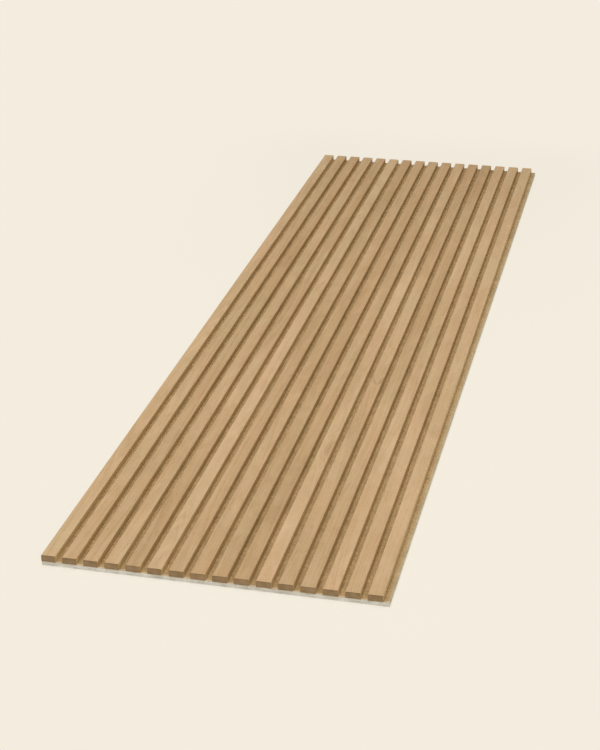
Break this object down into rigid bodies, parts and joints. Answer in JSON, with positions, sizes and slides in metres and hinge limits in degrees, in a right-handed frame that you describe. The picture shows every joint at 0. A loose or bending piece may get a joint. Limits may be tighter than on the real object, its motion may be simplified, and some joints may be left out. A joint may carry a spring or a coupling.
{
  "type": "acoustic slat wall panel",
  "caption": "Long wall panel of veneered fibreboard slats on a felt backing, with a bare felt lip along one edge; fixed to a wall to line it and soften sound.",
  "frame": {"origin": "middle of the back face, which lies on the floor or against the wall", "axes": "+X across the slats towards the bare felt lip, +Y along the slats, +Z out of the wall through the slat faces"},
  "size_m": [0.639, 2.4, 0.0216],
  "materials": {
    "oak_veneer": "matt oiled oak veneer",
    "fibreboard": "raw sawn fibreboard",
    "tan_felt": "flecked tan felt",
    "pale_felt": "off-white pressed felt",
    "staple_wire": "galvanised"
  },
  "bodies": {
    "root": {"felt_backing": "pale_felt", "felt_facing": "tan_felt", "slat_core_01": "fibreboard", "slat_core_02": "fibreboard", "slat_core_03": "fibreboard", "slat_core_04": "fibreboard", "slat_core_05": "fibreboard", "slat_core_06": "fibreboard", "slat_core_07": "fibreboard", "slat_core_08": "fibreboard", "slat_core_09": "fibreboard", "slat_core_10": "fibreboard", "slat_core_11": "fibreboard", "slat_core_12": "fibreboard", "slat_core_13": "fibreboard", "slat_core_14": "fibreboard", "slat_core_15": "fibreboard", "slat_core_16": "fibreboard", "slat_veneer_01": "oak_veneer", "slat_veneer_02": "oak_veneer", "slat_veneer_03": "oak_veneer", "slat_veneer_04": "oak_veneer", "slat_veneer_05": "oak_veneer", "slat_veneer_06": "oak_veneer", "slat_veneer_07": "oak_veneer", "slat_veneer_08": "oak_veneer", "slat_veneer_09": "oak_veneer", "slat_veneer_10": "oak_veneer", "slat_veneer_11": "oak_veneer", "slat_veneer_12": "oak_veneer", "slat_veneer_13": "oak_veneer", "slat_veneer_14": "oak_veneer", "slat_veneer_15": "oak_veneer", "slat_veneer_16": "oak_veneer", "staples": "staple_wire"}
  },
  "joints": []
}
